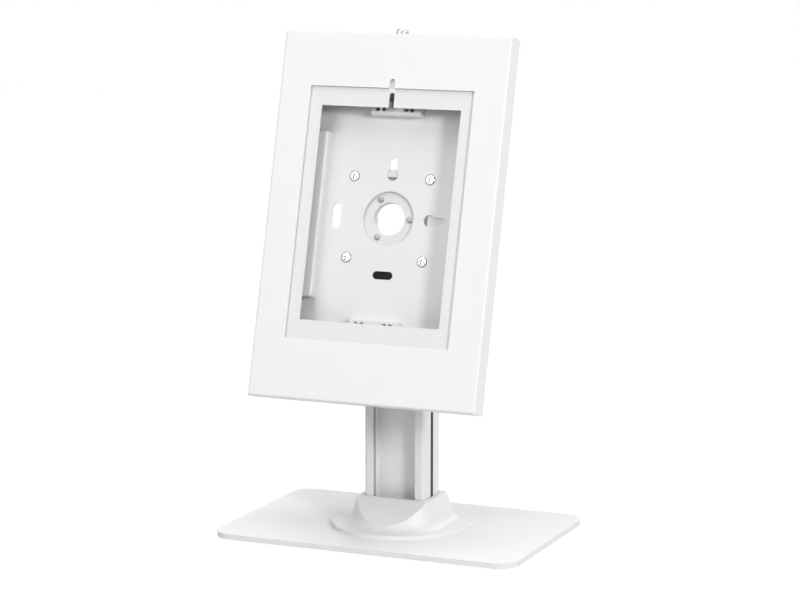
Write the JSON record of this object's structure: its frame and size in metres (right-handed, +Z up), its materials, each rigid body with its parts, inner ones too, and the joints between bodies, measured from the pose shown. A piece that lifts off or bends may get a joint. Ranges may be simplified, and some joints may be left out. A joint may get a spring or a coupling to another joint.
{
  "type": "tablet security kiosk stand",
  "caption": "Lockable sheet-metal tablet case on a tilting and turning head, carried by an extruded column with a flared collar on a flat base plate.",
  "frame": {"origin": "on the desk under the middle of the base plate", "axes": "+X to the right seen from the front, the screen faces -Y, +Z up"},
  "size_m": [0.298, 0.196, 0.4686],
  "materials": {
    "white_paint": "satin white powder coat on steel sheet",
    "column_finish": "white coated aluminium extrusion",
    "white_plastic": "satin white moulding",
    "black_plastic": "matte black moulding",
    "black_rubber": "matte black rubber",
    "zinc_steel": "zinc plated steel",
    "bright_nickel": "bright nickel plate",
    "dark_steel": "phosphated and oiled steel",
    "nylon": "natural nylon",
    "lock_metal": "polished nickel"
  },
  "bodies": {
    "stand": {"rubber_feet": "black_rubber", "base_plate": "white_paint", "base_screws": "zinc_steel", "base_collar": "white_plastic", "column": "column_finish", "groove_strips": "black_rubber", "cable_cover": "white_plastic", "column_cap": "black_plastic", "yoke": "zinc_steel", "yoke_screws": "zinc_steel", "tilt_bolts": "zinc_steel", "tilt_nuts": "zinc_steel", "friction_washers": "nylon", "spring_washers": "zinc_steel", "tilt_stop_pins": "zinc_steel"},
    "head": {"tilt_bracket": "white_paint", "slip_washers": "nylon", "turn_stop_pin": "zinc_steel"},
    "case": {"mount_plate": "white_paint", "rotation_hub": "white_paint", "hub_screws": "dark_steel", "mount_screws": "bright_nickel", "rear_tray": "white_paint", "upper_support": "white_paint", "lower_support": "white_paint", "left_support": "white_paint", "right_support": "white_paint", "hinge_leaves": "zinc_steel", "hinge_pins": "zinc_steel"},
    "cover": {"front_cover": "white_paint", "insert_frame": "white_paint", "insert_nuts": "zinc_steel", "lock_body": "lock_metal", "lock_nut": "zinc_steel"},
    "lock": {"lock_plug": "lock_metal", "lock_cam": "zinc_steel", "cam_screw": "zinc_steel"}
  },
  "joints": [
    {"name": "head_tilt", "type": "hinge", "parent": "stand", "child": "head", "pos_m": [0, 0.0044, 0.2895], "axis": [-1, 0, 0], "range_deg": [-15, 45]},
    {"name": "case_rotation", "type": "hinge", "parent": "head", "child": "case", "pos_m": [0, -0.02139, 0.29641], "axis": [0, -0.9659, 0.2588], "range_deg": [0, 90]},
    {"name": "cover_open", "type": "hinge", "parent": "case", "child": "cover", "pos_m": [0, -0.07288, 0.1338], "axis": [1, 0, 0], "range_deg": [0, 90]},
    {"name": "lock_turn", "type": "hinge", "parent": "cover", "child": "lock", "pos_m": [0, 0.0039, 0.46227], "axis": [0, -0.2588, -0.9659], "range_deg": [0, 90]}
  ]
}
